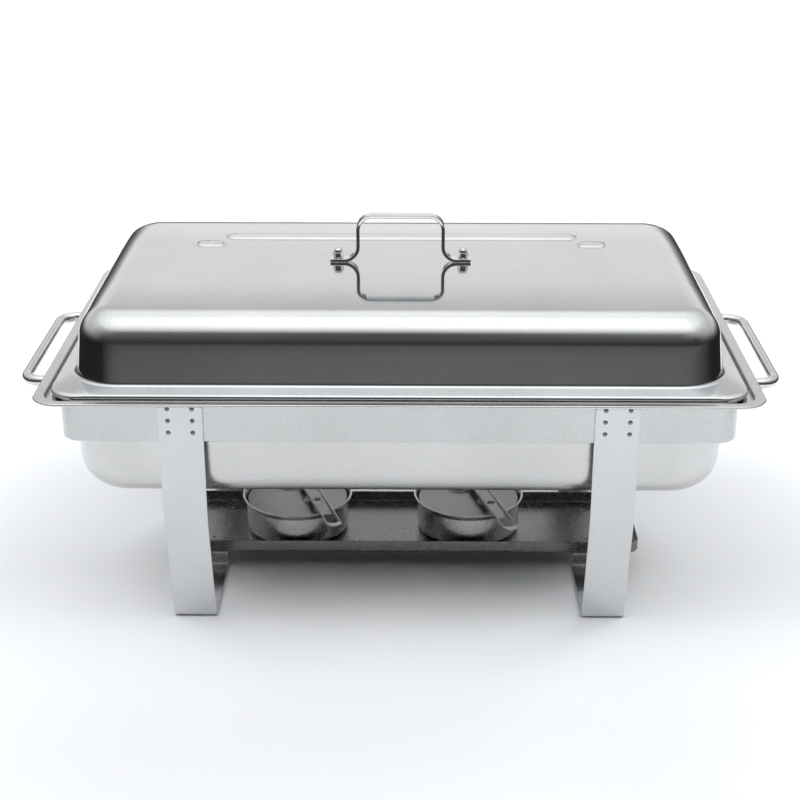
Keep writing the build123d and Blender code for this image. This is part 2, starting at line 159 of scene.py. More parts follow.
def sheet_rings(path, thickness, make_ring):
    """Rings over both faces of a sheet whose mid-line runs from its free edge to its middle."""
    left = offset_path(path, thickness / 2)
    right = offset_path(path, -thickness / 2)
    edge = round_end(path, 0, thickness)
    outline = list(reversed(left)) + edge + right
    return [make_ring(point.x, point.y) for point in outline]


def strip_rings(path, thickness, width, bevel, place):
    """Rings across a bent flat strip's width, with rounded long edges."""
    rings = []
    levels = ((1.0, 0.0), (0.4, 0.08), (0.08, 0.4), (0.0, 1.0))
    sides = [(inset, -width / 2 + bevel * rise) for inset, rise in levels]
    sides += [(inset, width / 2 - bevel * rise) for inset, rise in reversed(levels)]
    for inset, across in sides:
        thick = thickness - 2 * bevel * inset
        outline = offset_path(path, thick / 2) + round_end(path, -1, thick)
        outline += list(reversed(offset_path(path, -thick / 2))) + list(reversed(round_end(path, 0, thick)))
        rings.append([place(point.x, point.y, across) for point in outline])
    return rings


def tube_rings(path, radius, z, count=24):
    """Rings of a round rod along a level path."""
    rings = []
    for i, point in enumerate(path):
        along = (path[min(i + 1, len(path) - 1)] - path[max(i - 1, 0)]).normalized()
        side = Vector((-along.y, along.x, 0))
        middle = Vector((point.x, point.y, z))
        ring = []
        for k in range(count):
            angle = 2 * math.pi * k / count
            rise = Vector((0, 0, math.sin(angle) * radius))
            ring.append(middle + side * math.cos(angle) * radius + rise)
        rings.append(ring)
    return rings


def turned_rings(profile, centre, axis, count=32):
    """Rings of a turned piece: profile holds (radius, distance along the axis)."""
    axis = Vector(axis)
    side = axis.orthogonal().normalized()
    other = axis.cross(side)
    rings = []
    for radius, rise in profile:
        base = Vector(centre) + axis * rise
        ring = []
        for k in range(count):
            angle = 2 * math.pi * k / count
            ring.append(base + (side * math.cos(angle) + other * math.sin(angle)) * radius)
        rings.append(ring)
    return rings


def add_punched(bm, loops, thickness, bevel, place):
    """A plate with holes. loops(inset) gives the outline and the holes, drawn back into the metal."""
    levels = ((bevel, 0.0), (0.0, bevel), (0.0, thickness - bevel), (bevel, thickness))
    layers = []
    for inset, z in levels:
        layers.append([[bm.verts.new(place(x, y, z)) for x, y in loop] for loop in loops(inset)])
    for low, high in zip(layers, layers[1:]):
        for low_loop, high_loop in zip(low, high):
            count = len(low_loop)
            for i in range(count):
                j = (i + 1) % count
                bm.faces.new((low_loop[i], low_loop[j], high_loop[j], high_loop[i]))
    flat = [[Vector((x, y, 0)) for x, y in loop] for loop in loops(bevel)]
    triangles = tessellate_polygon(flat)
    for layer in (layers[0], layers[-1]):
        verts = [vert for loop in layer for vert in loop]
        for triangle in triangles:
            bm.faces.new([verts[i] for i in triangle])


def make_piece(name, bm, material, body, nodes, sharp=38):
    """Turns the mesh into a piece that rides on a body and stands for its CAD nodes."""
    bmesh.ops.recalc_face_normals(bm, faces=bm.faces)
    mesh = bpy.data.meshes.new(name)
    bm.to_mesh(mesh)
    bm.free()
    mesh.polygons.foreach_set("use_smooth", [True] * len(mesh.polygons))
    mesh.set_sharp_from_angle(angle=math.radians(sharp))
    mesh.materials.append(material)
    piece = bpy.data.objects.new(name, mesh)
    bpy.context.scene.collection.objects.link(piece)
    normals = piece.modifiers.new("even_normals", "WEIGHTED_NORMAL")
    normals.keep_sharp = True
    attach(piece, body)
    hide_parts(*nodes)
    return piece


# ------------------------------------------------------------------ materials


class Nodes:
    """Short ways to add and join shader nodes."""

    def __init__(self, tree):
        self.tree = tree

    def add(self, kind, **values):
        node = self.tree.nodes.new(kind)
        for key, value in values.items():
            setattr(node, key, value)
        return node

    def join(self, output, target):
        self.tree.links.new(output, target)

    def math(self, operation, first, second):
        node = self.add("ShaderNodeMath", operation=operation)
        for socket, value in zip(node.inputs, (first, second)):
            if isinstance(value, (int, float)):
                socket.default_value = value
            else:
                self.join(value, socket)
        return node.outputs[0]

    def noise(self, coords, scale, detail=4.0, rough=0.55, turn=(0, 0, 0)):
        """Noise whose scale is given for each axis, in cycles per metre."""
        mapping = self.add("ShaderNodeMapping")
        mapping.inputs["Scale"].default_value = scale
        mapping.inputs["Rotation"].default_value = [math.radians(a) for a in turn]
        self.join(coords, mapping.inputs["Vector"])
        noise = self.add("ShaderNodeTexNoise")
        noise.inputs["Scale"].default_value = 1.0
        noise.inputs["Detail"].default_value = detail
        noise.inputs["Roughness"].default_value = rough
        self.join(mapping.outputs["Vector"], noise.inputs["Vector"])
        return noise.outputs["Fac"]

    def ramp(self, value, *stops):
        """A grey ramp through (position, level) stops."""
        node = self.add("ShaderNodeValToRGB")
        elements = node.color_ramp.elements
        while len(elements) < len(stops):
            elements.new(0.5)
        for element, (position, level) in zip(elements, stops):
            element.position = position
            element.color = (level, level, level, 1)
        self.join(value, node.inputs["Fac"])
        return node.outputs["Color"]

    def blend(self, factor, first, second):
        node = self.add("ShaderNodeMix", data_type="RGBA")
        for socket, value in zip((node.inputs[0], node.inputs[6], node.inputs[7]), (factor, first, second)):
            if isinstance(value, (tuple, list)):
                socket.default_value = (*value, 1)
            elif isinstance(value, (int, float)):
                socket.default_value = value
            else:
                self.join(value, socket)
        return node.outputs[2]


def start_material(name):
    """A new node material, ready to wire: its nodes, its shader and object coordinates."""
    material = bpy.data.materials.new(name)
    material.use_nodes = True
    nodes = Nodes(material.node_tree)
    shader = material.node_tree.nodes["Principled BSDF"]
    coords = nodes.add("ShaderNodeTexCoord").outputs["Object"]
    return material, nodes, shader, coords


GRAIN = (850, 850, 850)
CLOUDS = (11, 11, 11)
WIPES = (5, 38, 38)
HAIRS_ALONG_X = (9, 1100, 1100)
HAIRS_ALONG_Y = (1100, 9, 1100)
STAINS = (6, 6, 6)
LEAST_ROUGHNESS = 0.03
STEEL_BUMP = (0.35, 0.02 * MM)
WICK_BUMP = (0.8, 0.6 * MM)


def add_bump(nodes, shader, height, bump):
    strength, distance = bump
    node = nodes.add("ShaderNodeBump")
    node.inputs["Strength"].default_value = strength
    node.inputs["Distance"].default_value = distance
    nodes.join(height, node.inputs["Height"])
    nodes.join(node.outputs["Normal"], shader.inputs["Normal"])


def steel(name, colour, roughness, grain_depth=0.5, smudge=0.05, scratches=0.04, painted_shade=0.0):
    """Stainless sheet: fine grain, handling smudges, hairline scratches and a slightly uneven tint;
    painted_shade darkens the tone and the stains as painted shade.
    """
    material, nodes, shader, coords = start_material(name)
    lines = nodes.noise(coords, GRAIN, detail=3.0)
    clouds = nodes.noise(coords, CLOUDS, detail=5.0, rough=0.6)
    wiped = nodes.noise(coords, WIPES, detail=4.0, rough=0.6, turn=(12, 8, 31))
    hairs_a = nodes.noise(coords, HAIRS_ALONG_X, detail=1.0, turn=(17, 29, 24))
    hairs_b = nodes.noise(coords, HAIRS_ALONG_Y, detail=1.0, turn=(41, 12, -33))
    scratch_a = nodes.ramp(hairs_a, (0.0, 0.0), (0.70, 0.0), (0.78, 1.0))
    scratch_b = nodes.ramp(hairs_b, (0.0, 0.0), (0.71, 0.0), (0.79, 1.0))
    scratch = nodes.math("MAXIMUM", scratch_a, scratch_b)

    uneven = nodes.math("MULTIPLY", nodes.math("SUBTRACT", clouds, 0.5), 2 * smudge)
    wipe = nodes.math("MULTIPLY", nodes.math("SUBTRACT", wiped, 0.5), smudge)
    fibre = nodes.math("MULTIPLY", nodes.math("SUBTRACT", lines, 0.5), grain_depth * 0.25)
    marks = nodes.math("MULTIPLY", scratch, scratches)
    level = nodes.math("ADD", nodes.math("ADD", uneven, wipe), nodes.math("ADD", fibre, marks))
    total = nodes.math("ADD", level, roughness)
    nodes.join(nodes.math("MAXIMUM", total, LEAST_ROUGHNESS), shader.inputs["Roughness"])

    bright = tuple(min(1.0, c * 1.09) for c in colour)
    # painted_shade lowers the tone's dark end: painted shade for parts that sit in shade.
    dim = tuple(c * (0.99 - painted_shade) for c in colour)
    warm = (colour[0] * 0.97, colour[1] * 0.945, colour[2] * 0.90)
    tone = nodes.blend(nodes.ramp(clouds, (0.30, 0.0), (0.70, 1.0)), dim, bright)
    stains = nodes.noise(coords, STAINS, detail=6.0, rough=0.65)
    # painted_shade also deepens the stains: painted shade laid over the real stains.
    stain = nodes.ramp(stains, (0.56, 0.0), (0.72, 0.45 + painted_shade))
    speckle = nodes.ramp(lines, (0.32, 0.0), (0.68, 0.16))
    grey = nodes.blend(stain, tone, warm)
    pit = tuple(0.35 * c for c in colour)
    nodes.join(nodes.blend(speckle, grey, pit), shader.inputs["Base Color"])
    shader.inputs["Metallic"].default_value = 1.0

    raised = nodes.math("MULTIPLY", lines, grain_depth)
    cut = nodes.math("MULTIPLY", scratch, -0.2)
    add_bump(nodes, shader, nodes.math("ADD", raised, cut), STEEL_BUMP)
    return material


def wick_fibre():
    """White twisted fibre: fuzzy threads, slightly greyed in patches, with painted shade in the hollows
    between threads.
    """
    material, nodes, shader, coords = start_material("wick_fibre")
    threads = nodes.noise(coords, (900, 900, 250), detail=6.0, rough=0.7)
    patches = nodes.noise(coords, (90, 90, 90), detail=3.0)
    greyed = nodes.ramp(patches, (0.35, 0.0), (0.75, 1.0))
    tone = nodes.blend(greyed, (0.90, 0.90, 0.88), (0.80, 0.79, 0.75))
    # Darker where the threads dip: painted shade in the hollows.
    hollow_shade = nodes.ramp(threads, (0.3, 0.35), (0.6, 0.0))
    nodes.join(nodes.blend(hollow_shade, tone, (0.70, 0.69, 0.66)), shader.inputs["Base Color"])
    nodes.join(nodes.ramp(threads, (0.0, 0.8), (1.0, 1.0)), shader.inputs["Roughness"])
    add_bump(nodes, shader, threads, WICK_BUMP)
    return material


LID_STEEL = steel("lid_polish", (0.655, 0.67, 0.68), 0.075, grain_depth=0.3, smudge=0.03, scratches=0.03)
PAN_STEEL = steel("pan_satin", (0.65, 0.652, 0.652), 0.19, smudge=0.04)
FOOD_STEEL = steel("food_pan_satin", (0.70, 0.69, 0.675), 0.24, smudge=0.07, scratches=0.08)
BAND_STEEL = steel("band_satin", (0.585, 0.59, 0.59), 0.20, smudge=0.04)
STRAP_STEEL = steel("strap_satin", (0.65, 0.655, 0.66), 0.22, smudge=0.04)
# Rivet heads: the dark colour is painted shade and painted dark reflections, not the steel's own colour.
RIVET_SHADED_STEEL = steel("rivet_painted_shade", (0.26, 0.26, 0.26), 0.30, painted_shade=0.1)
# Fuel tray: the dark colour is painted shade from the pan above it.
TRAY_SHADED_STEEL = steel("tray_painted_shade", (0.25, 0.25, 0.248), 0.26, 0.6, smudge=0.06, scratches=0.03, painted_shade=0.03)
CUP_STEEL = steel("cup_polish", (0.60, 0.60, 0.595), 0.26, smudge=0.06)
# Cup covers: the dark colour is painted shade from the pan above them.
COVER_SHADED_STEEL = steel("cover_painted_shade", (0.36, 0.357, 0.35), 0.40, grain_depth=1.0, smudge=0.12, painted_shade=0.12)
# Damper arms: the dark colour is painted shade from the pan above them.
ARM_SHADED_STEEL = steel("arm_painted_shade", (0.27, 0.27, 0.265), 0.20, grain_depth=0.8, smudge=0.06)
HANDLE_CHROME = steel("handle_chrome", (0.74, 0.75, 0.76), 0.05, 0.15, smudge=0.02, scratches=0.03)
ROD_CHROME = steel("rod_chrome", (0.70, 0.695, 0.685), 0.09, grain_depth=0.2, smudge=0.03)
HARDWARE = steel("hardware_chrome", (0.68, 0.675, 0.665), 0.10, grain_depth=0.2, smudge=0.03)
WICK_FIBRE = wick_fibre()


# ------------------------------------------------------------------ lid

LID_LOW, LID_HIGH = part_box("lid_shell")
LID_HALF = (LID_HIGH.x, LID_HIGH.y)
RIB_HEIGHT = 1.6 * MM
LID_TOP = LID_HIGH.z - RIB_HEIGHT
FLANGE_TOP = LID_LOW.z + 6.2 * MM
DOME_INSET = 13.5 * MM
DOME_EXTRA_X = 1.5 * MM
DOME_LEAN = 7.2 * MM
LID_SHOULDER = 25 * MM
LID_CORNER = 25 * MM
DOME_CORNER = 38 * MM
LEAST_LID_CORNER = 3 * MM
FLANGE_BEND = 4 * MM
FLANGE_RISE = 2.6 * MM
FLANGE_DROP = 0.5 * MM
LID_SAG = 1.6 * MM
SAG_START = 55 * MM
SAG_END = 120 * MM
LIP_BOTTOM = 1.1 * MM
LIP_HEM = 1.6 * MM
LIP_BEND = 0.7 * MM
LIP_SHOULDER = 2.2 * MM
RIB = (156 * MM, 7.75 * MM, 70.5 * MM)
MARK = (12.5 * MM, 7.5 * MM, 167.5 * MM, 48 * MM)
MARK_CORNER = 6 * MM
PRESSED_SLOPE = 2.0 * MM
PRESSED_ZONE = (58 * MM, 110 * MM)
PRESSED_STEP = 1.3 * MM
PLAIN_STEP = 9 * MM
LID_CUTS = (190, 60)


def smooth_step(value):
    value = min(1.0, max(0.0, value))
    return value * value * (3 - 2 * value)


def pressed_height(x, y):
    """How far the pressed rib and marks raise the lid's top."""
    half_length, half_width, rib_y = RIB
    beyond = max(abs(x) - (half_length - half_width), 0)
    from_rib = math.hypot(beyond, y - rib_y) - half_width
    half_x, half_y, mark_x, mark_y = MARK
    dx = max(abs(abs(x) - mark_x) - half_x + MARK_CORNER, 0)
    dy = max(abs(y - mark_y) - half_y + MARK_CORNER, 0)
    from_mark = math.hypot(dx, dy) - MARK_CORNER
    rib = RIB_HEIGHT * smooth_step(-from_rib / PRESSED_SLOPE)
    mark = RIB_HEIGHT * smooth_step(-from_mark / PRESSED_SLOPE)
    return max(rib, mark)


def top_sag(y):
    """How far the lid's top falls away towards its front and rear edges."""
    beyond = max(abs(y) - SAG_START, 0) / (SAG_END - SAG_START)
    return LID_SAG * min(beyond, 1.0) ** 2


def lid_corner(inset):
    """The plan corner radius at a distance in from the lid's edge."""
    bend_inset = DOME_INSET - FLANGE_BEND
    wide = DOME_CORNER + FLANGE_BEND
    if inset < bend_inset:
        return LID_CORNER + (wide - LID_CORNER) * max(inset, 0) / bend_inset
    return max(LEAST_LID_CORNER, DOME_CORNER - (inset - DOME_INSET))


def build_lid():
    half_sheet = SHEET / 2
    mid_top = LID_TOP - half_sheet
    mid_flange = FLANGE_TOP - half_sheet
    corners = [
        (half_sheet + LIP_HEM, LID_LOW.z + LIP_BOTTOM),
        (half_sheet, LID_LOW.z + LIP_BOTTOM),
        (half_sheet, mid_flange - FLANGE_DROP),
        (DOME_INSET + half_sheet, mid_flange + FLANGE_RISE),
        (DOME_INSET + DOME_LEAN + half_sheet, mid_top),
        (LID_HALF[1] - MIDDLE_GAP, mid_top),
    ]
    bends = [LIP_BEND, LIP_SHOULDER, FLANGE_BEND, LID_SHOULDER]
    path = fillet_path(corners, bends, steps=10)

    def spacing(point):
        in_zone = PRESSED_ZONE[0] < point.x < PRESSED_ZONE[1]
        return PRESSED_STEP if in_zone else PLAIN_STEP

    path = refine(path, spacing)

    def ring(inset, z):
        extra = DOME_EXTRA_X * min(1.0, max(0.0, inset / DOME_INSET))
        half_x, half_y = LID_HALF[0] - inset - extra, LID_HALF[1] - inset
        points = rounded_ring(half_x, half_y, lid_corner(inset), z, (0, 0), 14, LID_CUTS)
        height = smooth_step((z - FLANGE_TOP) / (LID_TOP - FLANGE_TOP))
        flat_top = z > LID_TOP - 2 * SHEET and inset > DOME_INSET + LID_SHOULDER
        for point in points:
            if flat_top:
                point.z += pressed_height(point.x, point.y)
            point.z -= height * top_sag(point.y)
        return points

    bm = bmesh.new()
    add_loft(bm, sheet_rings(path, SHEET, ring))
    make_piece("lid", bm, LID_STEEL, "lid", ["lid_shell"])


# ------------------------------------------------------------------ lid handle and its fixings

GRIP_LOW, GRIP_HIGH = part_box("lid_handle")
GRIP_STRIP = 3.0 * MM
GRIP_LEG_X = 36 * MM
GRIP_BEND = 12 * MM
GRIP_BEVEL = 0.7 * MM
SCREW_X = 53 * MM
WASHER_RADIUS = 4.2 * MM
NUT_HALF = 4 * MM
NUT_BODY = 4.5 * MM
NUT_DOME = 3.7 * MM


def build_lid_handle():
    foot = GRIP_LOW.z + GRIP_STRIP / 2
    top = GRIP_HIGH.z - GRIP_STRIP / 2
    end = GRIP_HIGH.x - GRIP_STRIP / 2
    line = [(-end, foot), (-GRIP_LEG_X, foot), (-GRIP_LEG_X, top)]
    line += [(GRIP_LEG_X, top), (GRIP_LEG_X, foot), (end, foot)]
    path = fillet_path(line, [GRIP_BEND] * 4, steps=14)
    bm = bmesh.new()
    width = GRIP_HIGH.y - GRIP_LOW.y
    rings = strip_rings(path, GRIP_STRIP, width, GRIP_BEVEL, lambda x, z, across: Vector((x, across, z)))
    add_loft(bm, rings)
    make_piece("lid_bridge_handle", bm, HANDLE_CHROME, "lid", ["lid_handle"])


def build_handle_fixings():
    washer_z = GRIP_LOW.z + GRIP_STRIP
    nut_low, nut_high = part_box("lid_handle_nuts")
    washers, nuts, screws = bmesh.new(), bmesh.new(), bmesh.new()
    for x in (-SCREW_X, SCREW_X):
        washer = [(WASHER_RADIUS - 0.2 * MM, 0), (WASHER_RADIUS, 0.25 * MM), (WASHER_RADIUS, 0.75 * MM)]
        washer += [(WASHER_RADIUS - 0.25 * MM, 1 * MM), (2.2 * MM, 1 * MM)]
        add_loft(washers, turned_rings(washer, (x, 0, washer_z), (0, 0, 1)))
        rings = []
        for shrink, rise in ((0.5, 0.0), (0.1, 0.35), (0, 0.7), (0, 4.0), (0.25, 4.35), (0.75, 4.5)):
            ring = []
            for side in range(6):
                start, end = math.radians(60 * side), math.radians(60 * side + 60)
                radius = (NUT_HALF - shrink * MM) / math.cos(math.radians(30))
                first = Vector((math.cos(start), math.sin(start), 0)) * radius
                last = Vector((math.cos(end), math.sin(end), 0)) * radius
                middle = Vector((x, 0, nut_low.z + rise * MM))
                ring.extend(first.lerp(last, cut / 4) + middle for cut in range(4))
            rings.append(ring)
        add_loft(nuts, rings)
        dome_height = nut_high.z - nut_low.z - NUT_BODY
        dome = []
        for step in range(10):
            angle = math.radians(90 * step / 9.4)
            dome.append((NUT_DOME * math.cos(angle), NUT_BODY - 0.1 * MM + dome_height * math.sin(angle)))
        add_loft(nuts, turned_rings(dome, (x, 0, nut_low.z), (0, 0, 1)))
        screw = [(0.3, -2.2), (2.0, -2.1), (3.1, -1.6), (3.7, -0.8), (3.8, -0.1)]
        screw += [(3.6, 0.0), (2.0, 0.0), (1.95, 0.3), (1.95, 4.4)]
        profile = [(radius * MM, rise * MM) for radius, rise in screw]
        add_loft(screws, turned_rings(profile, (x, 0, LID_TOP - SHEET), (0, 0, 1)))
    make_piece("handle_washers", washers, HARDWARE, "lid", ["lid_handle_washers"])
    make_piece("handle_dome_nuts", nuts, HARDWARE, "lid", ["lid_handle_nuts"], sharp=25)
    make_piece("handle_screws", screws, HARDWARE, "lid", ["lid_handle_screws"])


# ------------------------------------------------------------------ pans

PAN_LOW, PAN_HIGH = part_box("water_pan")
PAN_HALF = (PAN_HIGH.x, PAN_HIGH.y)
RIM_CORNER = 22 * MM
RECESS_INSET = 8.5 * MM
RECESS_CORNER = 15 * MM
LEDGE_TOP = PAN_HIGH.z - 4 * MM
TUB_INSET = 21 * MM
TUB_EXTRA_X = 0.5 * MM
TUB_CORNER = 45 * MM
TUB_LEAN = 5.0 * MM
TUB_BEND = 28.5 * MM
HEM_DROP = 1.8 * MM
HEM_DEPTH = 2.6 * MM
HEM_BEND = 0.75 * MM
RECESS_BEND = 1.2 * MM
TUB_MOUTH_BEND = 3 * MM
FOOD_LOW, FOOD_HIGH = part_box("food_pan")
FOOD_CORNER = 20 * MM
FOOD_INSET = 17 * MM
FOOD_MOUTH_CORNER = 45 * MM
FOOD_EXTRA_X = -1 * MM
FOOD_LEAN = 4.5 * MM
FOOD_BENDS = [3 * MM, 19.5 * MM]
LEAST_PAN_CORNER = 2 * MM
PAN_STEP = 14 * MM
PAN_CUTS = (40, 22)


def pan_corner(inset):
    """The water pan's plan corner radius at a distance in from its rim."""
    if inset < RECESS_INSET:
        return RIM_CORNER + (RECESS_CORNER - RIM_CORNER) * inset / RECESS_INSET
    if inset < TUB_INSET:
        share = (inset - RECESS_INSET) / (TUB_INSET - RECESS_INSET)
        return RECESS_CORNER + (TUB_CORNER - RECESS_CORNER) * share
    return max(LEAST_PAN_CORNER, TUB_CORNER - (inset - TUB_INSET))


def food_corner(inset):
    """The food pan's plan corner radius at a distance in from its flange edge."""
    if inset < FOOD_INSET:
        return FOOD_CORNER + (FOOD_MOUTH_CORNER - FOOD_CORNER) * inset / FOOD_INSET
    return max(LEAST_PAN_CORNER, FOOD_MOUTH_CORNER - (inset - FOOD_INSET))


def build_pan(name, half, mouth, corner, corners, bends, material, body, slot, node):
    """A pressed pan: one sheet that runs from its rim to the middle of its floor."""
    path = refine(fillet_path(corners, bends, steps=10), lambda point: PAN_STEP)
    mouth_inset, extra_x = mouth

    def ring(inset, z):
        extra = extra_x * min(1.0, max(0.0, inset / mouth_inset))
        half_x, half_y = half[0] - inset - extra, half[1] - inset
        return rounded_ring(half_x, half_y, corner(inset), z, (0, 0), 12, PAN_CUTS)

    bm = bmesh.new()
    add_loft(bm, sheet_rings(path, SHEET, ring))
    make_piece(name, bm, material, body, [node])


def build_pans():
    half_sheet = SHEET / 2
    rim = PAN_HIGH.z - half_sheet
    hem = PAN_HIGH.z - HEM_DROP
    ledge = LEDGE_TOP - half_sheet
    floor = PAN_LOW.z + half_sheet
    corners = [
        (HEM_DEPTH, hem),
        (half_sheet, hem),
        (half_sheet, rim),
        (RECESS_INSET - half_sheet, rim),
        (RECESS_INSET - half_sheet, ledge),
        (TUB_INSET + half_sheet, ledge),
        (TUB_INSET + TUB_LEAN + half_sheet, floor),
        (PAN_HALF[1] - MIDDLE_GAP, floor),
    ]
    bends = [HEM_BEND, HEM_BEND, RECESS_BEND, RECESS_BEND, TUB_MOUTH_BEND, TUB_BEND]
    mouth = (TUB_INSET, TUB_EXTRA_X)
    where = ("water_pan", "pan_steel", "water_pan")
    build_pan("water_pan_tub", PAN_HALF, mouth, pan_corner, corners, bends, PAN_STEEL, *where)
    flange = FOOD_HIGH.z - half_sheet
    floor = FOOD_LOW.z + half_sheet
    corners = [
        (half_sheet, flange),
        (FOOD_INSET + half_sheet, flange),
        (FOOD_INSET + FOOD_LEAN + half_sheet, floor),
        (FOOD_HIGH.y - MIDDLE_GAP, floor),
    ]
    food_half = (FOOD_HIGH.x, FOOD_HIGH.y)
    mouth = (FOOD_INSET, FOOD_EXTRA_X)
    where = ("food_pan", "food_pan_steel", "food_pan")
    build_pan("food_pan_basin", food_half, mouth, food_corner, corners, FOOD_BENDS, FOOD_STEEL, *where)


# ------------------------------------------------------------------ frame band

BAND_LOW, BAND_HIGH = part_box("frame_band")
BAND_CORNER = 18 * MM
BAND_EDGE = 0.3 * MM


def build_band():
    low, high = BAND_LOW.z, BAND_HIGH.z
    edge = BAND_EDGE
    outline = [(0, low + edge), (0, high - edge), (edge, high), (SHEET - edge, high)]
    outline += [(SHEET, high - edge), (SHEET, low + edge), (SHEET - edge, low), (edge, low)]
    bm = bmesh.new()
    rings = []
    for inset, z in outline:
        half_x, half_y = BAND_HIGH.x - inset, BAND_HIGH.y - inset
        rings.append(rounded_ring(half_x, half_y, BAND_CORNER - inset, z, (0, 0), 12, (30, 18)))
    add_loft(bm, rings, closed=True)
    make_piece("support_band", bm, BAND_STEEL, "frame", ["frame_band"])


# ------------------------------------------------------------------ legs

STRAP = 2.0 * MM
LEG_BEND_Z = 101.3 * MM
LEG_BEND = 100 * MM
FOOT_FRONT = 138 * MM
FOOT_BACK = 51 * MM
BRIDGE_Z = 16 * MM
CORNER_BEND = 3 * MM
STRAP_BEVEL = 0.45 * MM
PLATE_CORNER = 1.2 * MM
RIVET_PITCH_X = 19.2 * MM
RIVET_PITCH_Z = 10 * MM
RIVET_MIDDLE_Z = 188.8 * MM
RIVET_HEAD = 1.9 * MM


def rivet_profile(height=0.9 * MM, radius=RIVET_HEAD):
    """A low domed head, from its rim to its crown."""
    dome = [(radius, -0.05 * MM)]
    for step in range(7):
        angle = math.radians(90 * step / 6.4)
        dome.append((radius * math.cos(angle), height * math.sin(angle)))
    return dome


def build_leg(side):
    low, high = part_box(f"leg_strap_{side}")
    leg_y = high.y - STRAP / 2
    half = [
        (-leg_y, high.z - STRAP / 2),
        (-leg_y, LEG_BEND_Z),
        (-FOOT_FRONT, STRAP / 2),
        (-FOOT_BACK, STRAP / 2),
        (-FOOT_BACK, BRIDGE_Z - STRAP / 2),
    ]
    line = half + [(-y, z) for y, z in reversed(half)]
    bends = [LEG_BEND, CORNER_BEND, CORNER_BEND, CORNER_BEND]
    path = fillet_path(line, bends + bends[::-1], steps=10)
    middle = (low.x + high.x) / 2
    bm = bmesh.new()
    width = high.x - low.x

    def place(y, z, across):
        return Vector((middle + across, y, z))

    add_loft(bm, strip_rings(path, STRAP, width, STRAP_BEVEL, place))
    make_piece(f"leg_{side}", bm, STRAP_STEEL, "frame", [f"leg_strap_{side}"])


def build_leg_plate(end, side):
    low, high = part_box(f"leg_plate_{end}_{side}")
    facing = -1 if end == "front" else 1
    back_y = high.y if end == "front" else low.y
    middle = ((low.x + high.x) / 2, (low.z + high.z) / 2)
    bm = bmesh.new()
    rings = []
    for inset, rise in ((0, 0), (0, 0.6), (0.12, 0.85), (0.4, 1.0)):
        half_x, half_z = (high.x - low.x) / 2 - inset * MM, (high.z - low.z) / 2 - inset * MM
        ring = rounded_ring(half_x, half_z, PLATE_CORNER, 0, middle, 5, (4, 4))
        rings.append([Vector((p.x, back_y + facing * rise * SHEET, p.y)) for p in ring])
    add_loft(bm, rings)
    node = f"leg_plate_{end}_{side}"
    make_piece(f"leg_cover_{end}_{side}", bm, STRAP_STEEL, "frame", [node])


def build_leg_rivets():
    plate_low, plate_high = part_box("leg_plate_rear_right")
    leg_x = (plate_low.x + plate_high.x) / 2
    bm = bmesh.new()
    for middle_x in (-leg_x, leg_x):
        for facing in (-1, 1):
            for across in (-0.5, 0.5):
                for row in (-1, 0, 1):
                    x = middle_x + across * RIVET_PITCH_X
                    z = RIVET_MIDDLE_Z + row * RIVET_PITCH_Z
                    outer = (x, facing * plate_high.y, z)
                    add_loft(bm, turned_rings(rivet_profile(), outer, (0, facing, 0), 20))
                    inner = (x, facing * (BAND_HIGH.y - SHEET), z)
                    add_loft(bm, turned_rings(rivet_profile(), inner, (0, -facing, 0), 20))
    make_piece("leg_rivet_heads", bm, RIVET_SHADED_STEEL, "frame", ["leg_rivets"])


# ------------------------------------------------------------------ side handles

ROD_RADIUS = 4.5 * MM
ROD_BEND = 15 * MM
WELD = 1.4 * MM
PAD_THICK = 1.5 * MM
PAD_WIDTH = 26 * MM
PAD_CORNER = 3 * MM
PAD_RIVET_PITCH = 16 * MM


